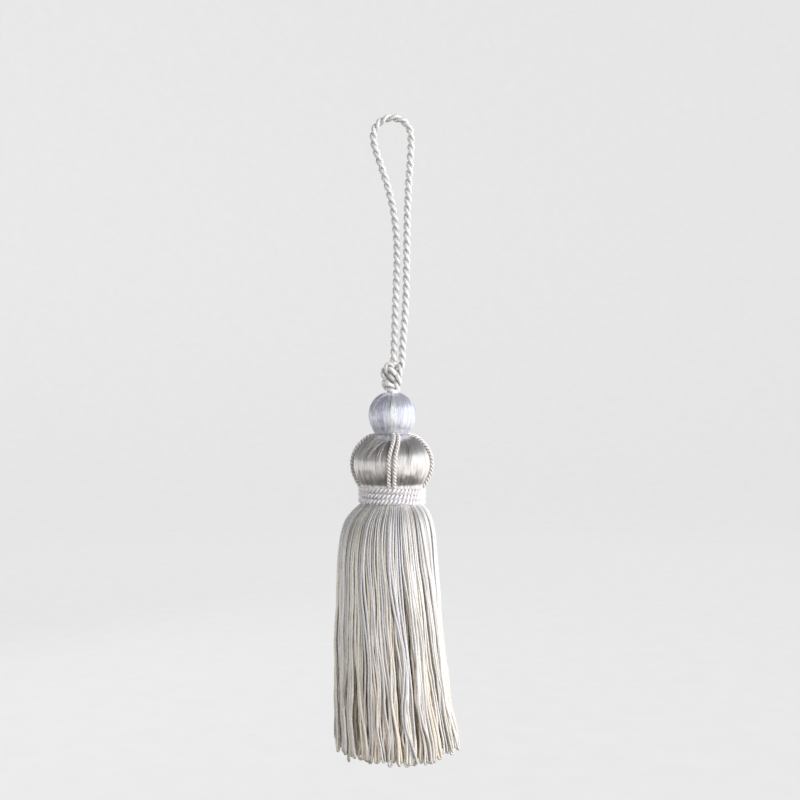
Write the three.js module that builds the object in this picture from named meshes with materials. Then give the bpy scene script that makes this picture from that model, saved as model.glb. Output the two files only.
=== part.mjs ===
// Key tassel: a small ball and a larger head, both covered in satin thread, over a skirt of
// looped bullion fringe, all hung by a loop of twisted cord.
//
// Millimetres, +Z up, +X to the right, -Y to the front. The origin is the hang point: the
// inside of the loop's top, where a hook or a knob carries the tassel.

import * as THREE from 'three';

// ---------------------------------------------------------------- driving dimensions

const GAP = 0.3;                  // clear space between neighbouring pieces

// Hanging loop. Its route runs up the left leg from the knot, over the hook and down the
// right leg. The bend at the top is 6 mm in radius on its inside.
const CORD_DIAMETER = 3.0;
const CORD_SIDES = 8;
const LOOP_STEPS = 50;
const LOOP_ROUTE = [              // x, y, z of the cord's centreline
  [0.6, 0.0, -96.0],
  [0.8, 0.0, -91.4],
  [1.0, 0.1, -85.4],
  [1.3, 0.2, -75.4],
  [1.7, 0.3, -65.0],
  [2.0, 0.3, -54.5],
  [1.6, 0.2, -44.0],
  [0.2, 0.1, -34.0],
  [-2.4, 0.0, -24.0],
  [-5.2, 0.0, -15.5],
  [-7.0, 0.0, -10.0],
  [-7.5, 0.0, -6.0],
  [-6.5, 0.0, -2.25],
  [-3.75, 0.0, 0.5],
  [0.0, 0.0, 1.5],
  [3.75, 0.0, 0.5],
  [6.5, 0.0, -2.25],
  [7.5, 0.0, -6.0],
  [7.5, 0.0, -11.0],
  [7.1, -0.1, -18.0],
  [6.5, -0.2, -27.0],
  [6.1, -0.3, -37.0],
  [5.9, -0.3, -48.0],
  [5.8, -0.2, -58.0],
  [5.6, -0.1, -68.0],
  [5.1, 0.0, -78.0],
  [4.5, 0.0, -86.0],
  [4.1, 0.0, -91.4],
  [4.0, 0.0, -96.0],
];

// Knot in the doubled cord, seated in the ball's top dimple.
const KNOT = {
  x: 0.4,                         // its middle, a little right of the tassel's axis
  width: 9.0,
  depth: 8.4,
  top: -96.3,
  seat: 0.55,                     // how far its lowest point lies below the ball's top ring
  wraps: 2,                       // cord turns side by side round it
  wrapTurn: 1.5,                  // turns that a wrap makes from bottom to top
  wrapDepth: 0.9,
};

// The two covered moulds. Rise and drop run from the widest level to the top and bottom ring.
const BALL = { radius: 9.2, rise: 7.7, topRing: 4.6, drop: 8.2, bottomRing: 6.4, dimple: 1.1 };
const HEAD = { radius: 15.2, rise: 11.2, topRing: 6.2, drop: 9.9, bottomRing: 11.1, dimple: 1.2 };
const HEAD_Z = -136.6;            // level of the head's widest ring
const BALL_Z = HEAD_Z + HEAD.rise + GAP + BALL.drop;

// Narrow twisted cords laid in pairs over the head.
const GIMP_DIAMETER = 1.4;
const GIMP_SIDES = 8;
const GIMP_STEPS = 12;
const GIMP_START = 28;            // degrees down from the head's top to the cord's upper end
const GIMP_SPACING = { top: 1.75, middle: 2.35, bottom: 2.1 };
const GIMP_PAIRS = [
  // Azimuth from the front towards +X, lean of the top end, and degrees down to the lower end.
  { side: 'front', azimuth: 0, lean: 12, end: 127.5 },
  { side: 'right', azimuth: 86, lean: 3, end: 129 },
  { side: 'back', azimuth: 180, lean: -6, end: 127.5 },
  { side: 'left', azimuth: -95, lean: -3, end: 126 },
];

// Collar: one cord wound three times round the neck. Each turn lies level and steps down to
// the next one at the back.
const COLLAR = {
  cord: 1.8,
  radius: 12.4,                   // of the cord's centreline
  top: -147.3,                    // centreline level of the first turn
  pitch: 2.1,
  turns: 3,
  step: 0.15,                     // share of a turn in which the cord steps down
  tilt: 0.4,                      // the right side lies this much lower, the left side higher
};
const COLLAR_SIDES = 8;
const COLLAR_STEPS_PER_TURN = 24;

// Skirt: its heading under the collar, its outline below it, and the hollow up its middle.
const HEADING = { radius: 11.1, top: -146.8, bottom: -152.4 };
const SKIRT_TOP = -152.2;         // level of the collar's lower edge
const SKIRT_SECTIONS = [          // distance below the collar, radius, sideways drift
  { below: 1.1, radius: 12.2, drift: -0.2 },
  { below: 3.2, radius: 14.9, drift: -0.5 },
  { below: 6.8, radius: 17.4, drift: -1.1 },
  { below: 10.8, radius: 18.7, drift: -1.4 },
  { below: 16.0, radius: 19.6, drift: -1.6 },
  { below: 23.0, radius: 20.2, drift: -1.7 },
  { below: 31.0, radius: 20.7, drift: -1.5 },
  { below: 41.0, radius: 21.3, drift: -1.2 },
  { below: 53.0, radius: 22.3, drift: -1.0 },
  { below: 67.0, radius: 23.1, drift: -0.2 },
  { below: 80.0, radius: 24.0, drift: 0.6 },
  { below: 90.0, radius: 25.0, drift: 1.8 },
  { below: 97.5, radius: 25.5, drift: 2.2 },
];
const HOLLOW_SECTIONS = [         // from the hem up to the hollow's tip
  { below: 97.5, radius: 10.0, drift: 2.2 },
  { below: 84.0, radius: 9.0, drift: 1.0 },
  { below: 60.0, radius: 7.4, drift: -0.6 },
  { below: 36.0, radius: 5.4, drift: -1.3 },
  { below: 18.0, radius: 3.0, drift: -1.6 },
];
const HOLLOW_TIP = { below: 12.0, drift: -1.4 };
const LOCKS = 20;                 // main bunches of strands round the skirt
const COLUMNS_PER_LOCK = 4;
const LOCK_DEPTH = 1.5;           // valley between two locks at the hem
const LOCK_START = 26;            // distance below the collar at which the locks have parted
const HEM_NOTCH = 6;              // height of the notch between two locks' ends
const HEM_SAG = 1.6;              // how far the ring between the hem's edges hangs below them

// ---------------------------------------------------------------- materials

function yarn(color, roughness) {
  return new THREE.MeshStandardMaterial({ color, roughness, metalness: 0 });
}

const COLORS = {
  loop: 0xd9d9dc,
  satinBall: 0xdcdbe6,
  satinHead: 0xd3cec4,
  gimp: 0xd8d2c2,
  collar: 0xe6e4ea,
  skirt: 0xddd6c6,
};

// ---------------------------------------------------------------- shared helpers

function smoothstep(t) {
  const s = Math.min(Math.max(t, 0), 1);
  return s * s * (3 - 2 * s);
}

function radians(degrees) {
  return degrees * Math.PI / 180;
}

// A regular polygon as the section of a cord.
function cordSection(diameter, sides) {
  const section = new THREE.Shape();
  for (let i = 0; i < sides; i += 1) {
    const angle = (i + 0.5) * 2 * Math.PI / sides;
    const x = Math.cos(angle) * diameter / 2;
    const y = Math.sin(angle) * diameter / 2;
    if (i === 0) section.moveTo(x, y);
    else section.lineTo(x, y);
  }
  section.closePath();
  return section;
}

function cordAlong(path, diameter, sides, steps) {
  return new THREE.ExtrudeGeometry(cordSection(diameter, sides), {
    steps,
    extrudePath: path,
    bevelEnabled: false,
  });
}

// Turns a profile of [radius, z] points, listed from the top axis point down the outside to
// the bottom axis point, and then moves each vertex by reshape(position, azimuth, ring).
function turned(profile, columns, reshape) {
  const points = profile.map(([radius, z]) => new THREE.Vector2(radius, z)).reverse();
  const geometry = new THREE.LatheGeometry(points, columns);
  geometry.rotateX(Math.PI / 2);
  const position = geometry.attributes.position;
  const vertex = new THREE.Vector3();
  const rings = profile.length;
  for (let i = 0; i < position.count; i += 1) {
    vertex.fromBufferAttribute(position, i);
    const column = Math.floor(i / rings) % columns;
    const ring = rings - 1 - (i % rings);
    reshape?.(vertex, column * 2 * Math.PI / columns, ring);
    position.setXYZ(i, vertex.x, vertex.y, vertex.z);
  }
  geometry.computeVertexNormals();
  return geometry;
}

// Half of a flattened dome: the ellipse that is `radius` wide at z = 0 and `ring` wide at z = end.
function domeSide(radius, ring, end, count) {
  const semiHeight = end / Math.sqrt(1 - (ring / radius) ** 2);
  const points = [];
  for (let i = 0; i < count; i += 1) {
    const last = Math.asin(ring / radius);
    const angle = last + (Math.PI / 2 - last) * i / count;
    points.push([radius * Math.sin(angle), semiHeight * Math.cos(angle)]);
  }
  return points;
}

// The profile of a covered mould: a dimple where the thread dives in, the dome and the flat base.
function mouldProfile(mould, centreZ, count) {
  const { radius, rise, topRing, drop, bottomRing, dimple } = mould;
  const dimplePoints = [0, 0.4, 0.75].map((share) => {
    const dip = dimple * (1 + Math.cos(Math.PI * share)) / 2;
    return [topRing * share, rise - dip];
  });
  const upper = domeSide(radius, topRing, rise, count);
  const lower = domeSide(radius, bottomRing, -drop, count).reverse();
  const profile = [...dimplePoints, ...upper, [radius, 0], ...lower, [0, -drop]];
  return profile.map(([r, z]) => [r, centreZ + z]);
}

// ---------------------------------------------------------------- loop and knot

function loopGeometry() {
  const points = LOOP_ROUTE.map(([x, y, z]) => new THREE.Vector3(x, y, z));
  const route = new THREE.CatmullRomCurve3(points);
  return cordAlong(route, CORD_DIAMETER, CORD_SIDES, LOOP_STEPS);
}

// An egg of the knot's size with slanting ridges where the cord wraps round it.
function knotGeometry() {
  const bottom = BALL_Z + BALL.rise - KNOT.seat;
  const middle = (KNOT.top + bottom) / 2;
  const halfHeight = (KNOT.top - bottom) / 2;
  const profile = [];
  const rings = 14;
  for (let i = 0; i <= rings; i += 1) {
    const angle = Math.PI * i / rings;
    const flattened = Math.sign(Math.cos(angle)) * Math.abs(Math.cos(angle)) ** 0.8;
    profile.push([Math.sin(angle) ** 0.8, middle + halfHeight * flattened]);
  }
  profile[0][0] = 0;
  profile[rings][0] = 0;
  return turned(profile, 24, (vertex, azimuth) => {
    const share = (vertex.z - bottom) / (2 * halfHeight);
    const phase = KNOT.wraps * azimuth + KNOT.wrapTurn * 2 * Math.PI * share;
    const size = 1 - (KNOT.wrapDepth * 2 / KNOT.width) * (1 + Math.cos(phase)) / 2;
    vertex.x = KNOT.x + vertex.x * size * KNOT.width / 2;
    vertex.y = vertex.y * size * KNOT.depth / 2;
  });
}

// ---------------------------------------------------------------- ball, head and gimp cords

function ballGeometry() {
  return turned(mouldProfile(BALL, BALL_Z, 6), 32);
}

function headGeometry() {
  return turned(mouldProfile(HEAD, HEAD_Z, 7), 40);
}

// One gimp cord over the head, from under the ball to just above the collar.
class GimpPath extends THREE.Curve {
  constructor(pair, hand) {
    super();
    this.azimuth = radians(pair.azimuth);
    this.lean = radians(pair.lean);
    this.end = pair.end;
    this.hand = hand;
  }

  getPoint(t, target = new THREE.Vector3()) {
    const away = GAP + GIMP_DIAMETER / 2;
    const down = radians(GIMP_START + (this.end - GIMP_START) * t);
    const end = Math.cos(down) > 0 ? HEAD.rise : HEAD.drop;
    const ring = Math.cos(down) > 0 ? HEAD.topRing : HEAD.bottomRing;
    const semiHeight = end / Math.sqrt(1 - (ring / HEAD.radius) ** 2) + away;
    const radius = (HEAD.radius + away) * Math.sin(down);
    const azimuth = this.azimuth + this.lean * (1 - smoothstep(t / 0.5))
      + this.hand * gimpSpacing(t) / 2 / radius;
    return target.set(
      radius * Math.sin(azimuth),
      -radius * Math.cos(azimuth),
      HEAD_Z + semiHeight * Math.cos(down),
    );
  }
}

// Distance between the two cords of a pair, t of the way down.
function gimpSpacing(t) {
  const { top, middle, bottom } = GIMP_SPACING;
  if (t < 0.5) return top + (middle - top) * smoothstep(t / 0.5);
  return middle + (bottom - middle) * smoothstep((t - 0.5) / 0.5);
}

function gimpGeometry(pair, hand) {
  return cordAlong(new GimpPath(pair, hand), GIMP_DIAMETER, GIMP_SIDES, GIMP_STEPS);
}

// ---------------------------------------------------------------- collar

class CollarPath extends THREE.Curve {
  getPoint(t, target = new THREE.Vector3()) {
    const turn = t * (COLLAR.turns - COLLAR.step);
    const whole = Math.floor(turn);
    const stepping = smoothstep((turn - whole - (1 - COLLAR.step)) / COLLAR.step);
    const azimuth = Math.PI + turn * 2 * Math.PI;
    return target.set(
      COLLAR.radius * Math.sin(azimuth),
      -COLLAR.radius * Math.cos(azimuth),
      COLLAR.top - COLLAR.pitch * (whole + stepping) - COLLAR.tilt * Math.sin(azimuth),
    );
  }
}

function collarGeometry() {
  const steps = Math.round(COLLAR_STEPS_PER_TURN * (COLLAR.turns - COLLAR.step));
  return cordAlong(new CollarPath(), COLLAR.cord, COLLAR_SIDES, steps);
}

// ---------------------------------------------------------------- skirt

// Locks of uneven width: 1 on a lock's crest, 0 in the valley between two locks.
function lockCrest(azimuth) {
  const uneven = 0.05 * Math.sin(3 * azimuth + 1) + 0.035 * Math.sin(5 * azimuth + 2);
  return (1 + Math.cos(LOCKS * (azimuth + uneven))) / 2;
}

// How much longer or shorter the strands hang at this azimuth.
function hemUnevenness(azimuth) {
  return 0.7 * Math.sin(5 * azimuth + 0.4) + 0.5 * Math.sin(11 * azimuth + 2);
}

function skirtProfile() {
  const rows = [{ z: HEADING.top, radius: 0, drift: 0, below: -1 }];
  rows.push({ z: HEADING.top, radius: HEADING.radius, drift: 0, below: -1 });
  rows.push({ z: HEADING.bottom, radius: HEADING.radius, drift: 0, below: -1 });
  for (const section of SKIRT_SECTIONS) {
    rows.push({ ...section, z: SKIRT_TOP - section.below });
  }
  const edge = SKIRT_SECTIONS.at(-1);
  const inner = HOLLOW_SECTIONS[0];
  rows.push({
    below: edge.below + HEM_SAG,
    radius: (edge.radius + inner.radius) / 2,
    drift: edge.drift,
    z: SKIRT_TOP - edge.below - HEM_SAG,
  });
  for (const section of HOLLOW_SECTIONS) {
    rows.push({ ...section, z: SKIRT_TOP - section.below, inside: true });
  }
  rows.push({ ...HOLLOW_TIP, radius: 0, z: SKIRT_TOP - HOLLOW_TIP.below, inside: true });
  return rows;
}

function skirtGeometry() {
  const rows = skirtProfile();
  const hemDepth = SKIRT_SECTIONS.at(-1).below;
  const profile = rows.map((row) => [row.radius, row.z]);
  return turned(profile, LOCKS * COLUMNS_PER_LOCK, (vertex, azimuth, ring) => {
    const row = rows[ring];
    const valley = 1 - lockCrest(azimuth);
    const parted = smoothstep(row.below / LOCK_START) * (row.inside ? -1 : 1);
    if (row.radius > 0) {
      const size = 1 - LOCK_DEPTH * valley * parted * (row.inside ? 0.3 : 1) / row.radius;
      vertex.x *= size;
      vertex.y *= size;
    }
    vertex.x += row.drift;
    if (row.below >= hemDepth) {
      vertex.z += HEM_NOTCH * valley * valley + hemUnevenness(azimuth);
    }
  });
}

// ---------------------------------------------------------------- assembly

function piece(name, geometry, material) {
  const mesh = new THREE.Mesh(geometry, material);
  mesh.name = name;
  return mesh;
}

function gimpCords() {
  const cords = new THREE.Group();
  for (const pair of GIMP_PAIRS) {
    [-1, 1].forEach((hand, index) => {
      const name = `gimp_${pair.side}_${index + 1}`;
      cords.add(piece(name, gimpGeometry(pair, hand), yarn(COLORS.gimp, 0.6)));
    });
  }
  return cords;
}

const tassel = new THREE.Group();
tassel.add(piece('hanging_loop', loopGeometry(), yarn(COLORS.loop, 0.65)));
tassel.add(piece('loop_knot', knotGeometry(), yarn(COLORS.loop, 0.65)));
tassel.add(piece('ball', ballGeometry(), yarn(COLORS.satinBall, 0.4)));
tassel.add(piece('head', headGeometry(), yarn(COLORS.satinHead, 0.4)));
tassel.add(gimpCords());
tassel.add(piece('collar', collarGeometry(), yarn(COLORS.collar, 0.6)));
tassel.add(piece('skirt', skirtGeometry(), yarn(COLORS.skirt, 0.5)));

export default tassel;
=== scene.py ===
import math

import bpy
import numpy as np
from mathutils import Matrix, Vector


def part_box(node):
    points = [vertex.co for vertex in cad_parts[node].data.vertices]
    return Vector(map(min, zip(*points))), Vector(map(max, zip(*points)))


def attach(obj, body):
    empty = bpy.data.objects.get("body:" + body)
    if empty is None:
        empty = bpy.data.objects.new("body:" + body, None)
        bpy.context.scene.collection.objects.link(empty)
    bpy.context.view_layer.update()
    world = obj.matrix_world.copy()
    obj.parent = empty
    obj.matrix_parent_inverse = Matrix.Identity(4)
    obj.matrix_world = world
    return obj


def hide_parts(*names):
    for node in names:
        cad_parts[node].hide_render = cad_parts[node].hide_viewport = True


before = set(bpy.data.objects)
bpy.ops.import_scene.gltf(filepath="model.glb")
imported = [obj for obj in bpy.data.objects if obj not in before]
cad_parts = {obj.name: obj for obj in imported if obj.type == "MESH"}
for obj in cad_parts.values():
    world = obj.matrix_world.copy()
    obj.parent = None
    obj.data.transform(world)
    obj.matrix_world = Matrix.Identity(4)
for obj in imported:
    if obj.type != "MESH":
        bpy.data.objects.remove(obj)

# Key tassel. Metres, +Z up, +X to the right, -Y to the front. The origin is the hang point.
# Azimuths run from the front towards +X.

MM = 0.001
TAU = 2 * math.pi
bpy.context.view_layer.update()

# ------------ sizes

# Hanging loop: the same route as the CAD solid's centreline, in metres.
CORD_DIAMETER = 0.003
LOOP_ROUTE = [
    (0.0006, 0.0, -0.0960),
    (0.0008, 0.0, -0.0914),
    (0.0010, 0.0001, -0.0854),
    (0.0013, 0.0002, -0.0754),
    (0.0017, 0.0003, -0.0650),
    (0.0020, 0.0003, -0.0545),
    (0.0016, 0.0002, -0.0440),
    (0.0002, 0.0001, -0.0340),
    (-0.0024, 0.0, -0.0240),
    (-0.0052, 0.0, -0.0155),
    (-0.0070, 0.0, -0.0100),
    (-0.0075, 0.0, -0.0060),
    (-0.0065, 0.0, -0.00225),
    (-0.00375, 0.0, 0.0005),
    (0.0, 0.0, 0.0015),
    (0.00375, 0.0, 0.0005),
    (0.0065, 0.0, -0.00225),
    (0.0075, 0.0, -0.0060),
    (0.0075, 0.0, -0.0110),
    (0.0071, -0.0001, -0.0180),
    (0.0065, -0.0002, -0.0270),
    (0.0061, -0.0003, -0.0370),
    (0.0059, -0.0003, -0.0480),
    (0.0058, -0.0002, -0.0580),
    (0.0056, -0.0001, -0.0680),
    (0.0051, 0.0, -0.0780),
    (0.0045, 0.0, -0.0860),
    (0.0041, 0.0, -0.0914),
    (0.0040, 0.0, -0.0960),
]
CORD_PITCH = 7.0 * MM

# Knot: routes in millimetres, from the loop down to the ball. The left leg makes a bight over the
# front and a turn round the foot. The right leg runs down the front, round the back and up inside
# the bight, then down to the ball.
KNOT_CORD_DIAMETER = 0.0034
KNOT_LEFT_LEG = [
    (0.7, 0.9, -98.2),
    (0.0, 1.8, -100.0),
    (-1.9, 1.6, -101.6),
    (-3.0, 0.0, -101.6),
    (-2.7, -1.8, -99.6),
    (-1.3, -2.4, -97.9),
    (-0.1, -2.6, -99.4),
    (0.3, -2.0, -101.7),
    (0.9, 0.2, -103.4),
    (-0.6, 1.9, -104.0),
    (-2.4, 1.0, -104.4),
    (-2.9, -0.8, -104.6),
    (-1.8, -2.3, -105.4),
    (-0.2, -2.4, -107.0),
    (0.9, -1.2, -108.6),
    (0.6, 0.2, -110.0),
    (0.5, 0.5, -111.4),
]
KNOT_RIGHT_LEG = [
    (3.4, -0.7, -98.2),
    (2.7, -1.7, -100.6),
    (2.4, -2.0, -103.0),
    (2.2, -1.4, -105.6),
    (1.4, 0.4, -107.6),
    (-0.6, 1.5, -107.4),
    (-2.2, 1.3, -105.8),
    (-2.0, 0.9, -103.0),
    (-1.3, 0.2, -100.6),
    (-0.9, -0.3, -102.8),
    (-0.7, -0.3, -106.0),
    (-0.4, -0.2, -111.4),
]

# Covered moulds, in millimetres. rise and drop run from the widest level to the top and bottom
# ring. The threads run on below the bottom ring over the rings of [radius, height] in a foot.
BALL = {
    "radius": 9.2, "rise": 8.27, "top_ring": 3.4, "drop": 8.2, "bottom_ring": 6.4, "dimple": 1.4,
}
HEAD = {
    "radius": 15.2, "rise": 11.2, "top_ring": 6.2, "drop": 7.74, "bottom_ring": 12.85, "dimple": 1.2,
}
BALL_FOOT = [[5.9, -8.6], [5.6, -9.2]]
HEAD_FOOT = [[12.63, -8.1], [12.47, -8.5], [12.37, -8.9], [12.33, -9.35], [12.3, -12.4]]
BALL_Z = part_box("ball")[0][2] + BALL["drop"] * MM      # level of the widest ring
HEAD_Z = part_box("head")[1][2] - HEAD["rise"] * MM

THREAD_BACK = 0.09                # height of a thread's round back at the widest level, in mm
LOOSE_THREAD = {"radius": 0.16, "lift": 0.13, "tints": (0.3, 0.8)}

# The thread covers. seam: azimuth in degrees, width in threads and thickness in millimetres of
# the winding's last strip, the threads' slant (skew) and their unevenness (rise). The strip's
# threads are painted lighter, a painted highlight. loose: bundles of slipped threads, from one
# (azimuth, angle down from the top) to another.
COVERS = {
    "ball": {
        "satin": "satin_white", "mould": BALL, "foot": BALL_FOOT, "z": BALL_Z,
        "threads": 130, "steps": 6,
        "seam": {"azimuth": -2.7, "threads": 5.5, "thickness": 0.26, "skew": 0.6, "rise": 0.08},
        "loose": [
            {"start": (-14, 24), "end": (-62, 62), "threads": 3, "spread": 3.0},
            {"start": (-34, 26), "end": (-58, 80), "threads": 2, "spread": 4.0},
            {"start": (118, 30), "end": (88, 90), "threads": 3, "spread": 4.0},
        ],
    },
    "head": {
        "satin": "satin_cream", "mould": HEAD, "foot": HEAD_FOOT, "z": HEAD_Z,
        "threads": 200, "steps": 5,
        "seam": {"azimuth": 0.0, "threads": 0.0, "thickness": 0.0, "skew": 1.5, "rise": 0.05},
        "loose": [
            {"start": (-20, 38), "end": (-40, 78), "threads": 5, "spread": 3.4},
            {"start": (-38, 34), "end": (-58, 84), "threads": 4, "spread": 4.0},
            {"start": (-10, 40), "end": (-20, 80), "threads": 3, "spread": 2.0},
            {"start": (34, 42), "end": (24, 92), "threads": 3, "spread": 2.6},
            {"start": (140, 36), "end": (112, 90), "threads": 6, "spread": 3.2},
            {"start": (-140, 40), "end": (-118, 88), "threads": 5, "spread": 3.0},
        ],
    },
}

# Gimp cords over the head, in pairs. Angles are in degrees: lean turns a pair's upper end towards
# +X, and end is how far down from the top its lower end lies. Spacings are in millimetres.
GIMP_DIAMETER = 1.65 * MM
GIMP_PITCH = 2.9 * MM
GIMP_START = math.radians(24)
GIMP_SPACING = {"top": 1.55, "middle": 2.3, "bottom": 2.1}
GIMP_PAIRS = [
    {"side": "front", "azimuth": 0, "lean": 11, "end": 133},
    {"side": "right", "azimuth": 86, "lean": 3, "end": 134},
    {"side": "back", "azimuth": 180, "lean": -6, "end": 133},
    {"side": "left", "azimuth": -95, "lean": -3, "end": 132},
]

# Collar, in millimetres: one cord in three turns that step down at the back, over a share (step)
# of each turn. Its right side lies lower by tilt.
COLLAR = {
    "cord": 2.45, "radius": 12.4, "top": -147.3, "pitch": 2.1, "turns": 3, "step": 0.15,
    "tilt": 0.4,
}
COLLAR_PITCH = 3.1 * MM

# Skirt outline and hollow: distance below the collar, radius, sideways drift, in millimetres.
# SKIRT_TOP is the level of the collar's lower edge.
HEADING_HEIGHT = 5.4 * MM         # of the skirt's solid, behind the collar
SKIRT_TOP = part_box("skirt")[1][2] - HEADING_HEIGHT
SKIRT_SECTIONS = [
    {"below": -3.0, "radius": 11.2, "drift": 0.0},
    {"below": -0.5, "radius": 11.4, "drift": 0.0},
    {"below": 1.1, "radius": 12.9, "drift": -0.2},
    {"below": 3.2, "radius": 15.0, "drift": -0.5},
    {"below": 6.8, "radius": 17.4, "drift": -1.1},
    {"below": 10.8, "radius": 18.7, "drift": -1.4},
    {"below": 16.0, "radius": 19.6, "drift": -1.6},
    {"below": 23.0, "radius": 20.2, "drift": -1.7},
    {"below": 31.0, "radius": 20.7, "drift": -1.5},
    {"below": 41.0, "radius": 21.3, "drift": -1.2},
    {"below": 53.0, "radius": 22.3, "drift": -1.0},
    {"below": 67.0, "radius": 23.1, "drift": -0.2},
    {"below": 80.0, "radius": 24.0, "drift": 0.6},
    {"below": 90.0, "radius": 25.0, "drift": 1.8},
    {"below": 97.5, "radius": 25.5, "drift": 2.2},
    {"below": 101.0, "radius": 25.6, "drift": 2.3},
]
HOLLOW_SECTIONS = [
    {"below": -3.0, "radius": 3.0},
    {"below": 12.0, "radius": 3.0},
    {"below": 36.0, "radius": 5.4},
    {"below": 60.0, "radius": 7.4},
    {"below": 84.0, "radius": 9.0},
    {"below": 101.0, "radius": 10.0},
]
HEM = 95.6                        # mean distance of the loops' ends below the collar
HEADING = 2.5                     # how far the loops run up behind the collar
YARN_RADIUS = 0.48 * MM
YARN_SLIM = {"neck": 0.68, "below": 34.0, "spread": 0.12}
HEM_RINGS = 5                     # rings of a strand in the U at its end

# Layers of loops. inset is in millimetres from the outline to the yarn's middle. One loop at the
# front left, at the azimuth of long_loop, hangs lower than the rest.
LONG_LOOP = {"azimuth": math.radians(-53), "extra": 2.2}
LAYERS = [
    {"name": "outer", "loops": 67, "inset": 0.7, "sides": 8, "rings": 66,
     "yarn": "fringe_yarn", "long_loop": LONG_LOOP},
    {"name": "second", "loops": 66, "inset": 1.7, "sides": 8, "rings": 48,
     "yarn": "fringe_yarn_inside_shaded"},
    {"name": "third", "loops": 54, "inset": 2.9, "sides": 8, "rings": 32,
     "yarn": "fringe_yarn_inside_shaded"},
]
INNER = {"loops": 220, "inset": 4.2, "sides": 7, "rings": 16, "yarn": "fringe_yarn_inside_shaded"}
STRAYS = {"loops": 14, "inset": 0.1, "sides": 8, "rings": 64, "yarn": "fringe_yarn"}

# How the strands fall, in millimetres and radians. waves holds the least and the most waves
# between neck and hem. Locks draw together from start on, over the length fade, with a valley
# between two of them. A strand's wander round the skirt is a sum of waves, and it swings and
# ripples in and out. The front sweeps to the right.
LOCKS = {
    "count": 26, "jitter": 0.32, "lean": 0.04, "start": 14.0, "fade": 70.0, "pull": 0.155,
    "valley": 1.15,
}
WANDER = [
    {"reach": 0.038, "waves": (0.7, 2.6)},
    {"reach": 0.016, "waves": (0.7, 2.6)},
    {"reach": 0.0042, "waves": (6.0, 13.0)},
]
SWING = {"reach": 0.22, "ripple": 0.09, "waves": (5.0, 11.0)}
SWEEP = {"azimuth": 0.25, "reach": 0.20, "below": 60.0}

# A loop's two legs stray apart in waves, turn about each other from a level on (turn_start, over
# turn_fade), and close up to the U, of radius bend, over the last stretch (close) above the hem.
LEGS = {
    "bend": (0.62, 0.80), "stray": 0.46, "waves": (1.2, 3.6), "turn": 0.6, "turn_start": 55.0,
    "turn_fade": 40.0, "close": 9.0, "close_fade": 8.0,
}

# Camera: level with the top of the head, and so close that the hem curves.
CAMERA_DISTANCE = 0.344
CAMERA_SIDE = 0.0032
CAMERA_HEIGHT = -0.1274
CAMERA_LENS = 38.7
CAMERA_SHIFT = 0.05

rng = np.random.default_rng(11)


# ------------ numbers and curves

def smoothstep(t):
    s = np.clip(t, 0.0, 1.0)
    return s * s * (3 - 2 * s)


def column(table, key):
    return np.array([row[key] for row in table], dtype=float)


def smooth_interp(x, xs, ys):
    """Cubic Hermite curve through the points of a table, with slopes from its neighbours."""
    slopes = np.gradient(ys, xs)
    x = np.clip(x, xs[0], xs[-1])
    i = np.clip(np.searchsorted(xs, x) - 1, 0, len(xs) - 2)
    width = xs[i + 1] - xs[i]
    t = (x - xs[i]) / width
    a = (1 + 2 * t) * (1 - t) ** 2 * ys[i] + t * (1 - t) ** 2 * width * slopes[i]
    b = t * t * (3 - 2 * t) * ys[i + 1] + t * t * (t - 1) * width * slopes[i + 1]
    return a + b


def lengths_along(points):
    steps = np.linalg.norm(np.diff(points, axis=0), axis=1)
    return np.concatenate([[0.0], np.cumsum(steps)])


def smooth_route(points, step):
    """A Catmull-Rom curve through the points, resampled at even steps."""
    p = np.asarray(points, dtype=float)
    padded = np.vstack([2 * p[0] - p[1], p, 2 * p[-1] - p[-2]])
    t = np.linspace(0, 1, 24, endpoint=False)[:, None]
    pieces = []
    for a, b, c, d in zip(padded, padded[1:], padded[2:], padded[3:]):
        pieces.append(0.5 * (2 * b + (c - a) * t + (2 * a - 5 * b + 4 * c - d) * t ** 2
                             + (3 * b - a - 3 * c + d) * t ** 3))
    dense = np.vstack(pieces + [p[-1:]])
    along = lengths_along(dense)
    count = max(2, int(round(along[-1] / step)) + 1)
    even = np.linspace(0, along[-1], count)
    return np.stack([np.interp(even, along, dense[:, k]) for k in range(3)], axis=1)


def polar(radius, azimuth, height):
    """Points round the axis, at azimuths from the front towards +X. Arrays fit each other."""
    x = radius * np.sin(azimuth)
    y = -radius * np.cos(azimuth)
    return np.stack(np.broadcast_arrays(x, y, height), axis=-1)


def unit(v):
    return v / np.maximum(np.linalg.norm(v, axis=-1, keepdims=True), 1e-12)


def carried_frames(points):
    """Normals and binormals carried along each path without twist. points: (paths, rings, 3)."""
    tangents = unit(np.gradient(points, axis=1))
    normals = np.empty_like(points)
    helper = np.where(np.abs(tangents[:, :1, 1:2]) < 0.9, [[[0.0, 1.0, 0.0]]], [[[1.0, 0.0, 0.0]]])
    normals[:, 0] = unit(np.cross(tangents[:, 0], helper[:, 0]))
    for i in range(1, points.shape[1]):
        t = tangents[:, i]
        carried = normals[:, i - 1]
        normals[:, i] = unit(carried - t * np.sum(carried * t, axis=-1, keepdims=True))
    return normals, np.cross(tangents, normals)


# ------------ meshes

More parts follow.
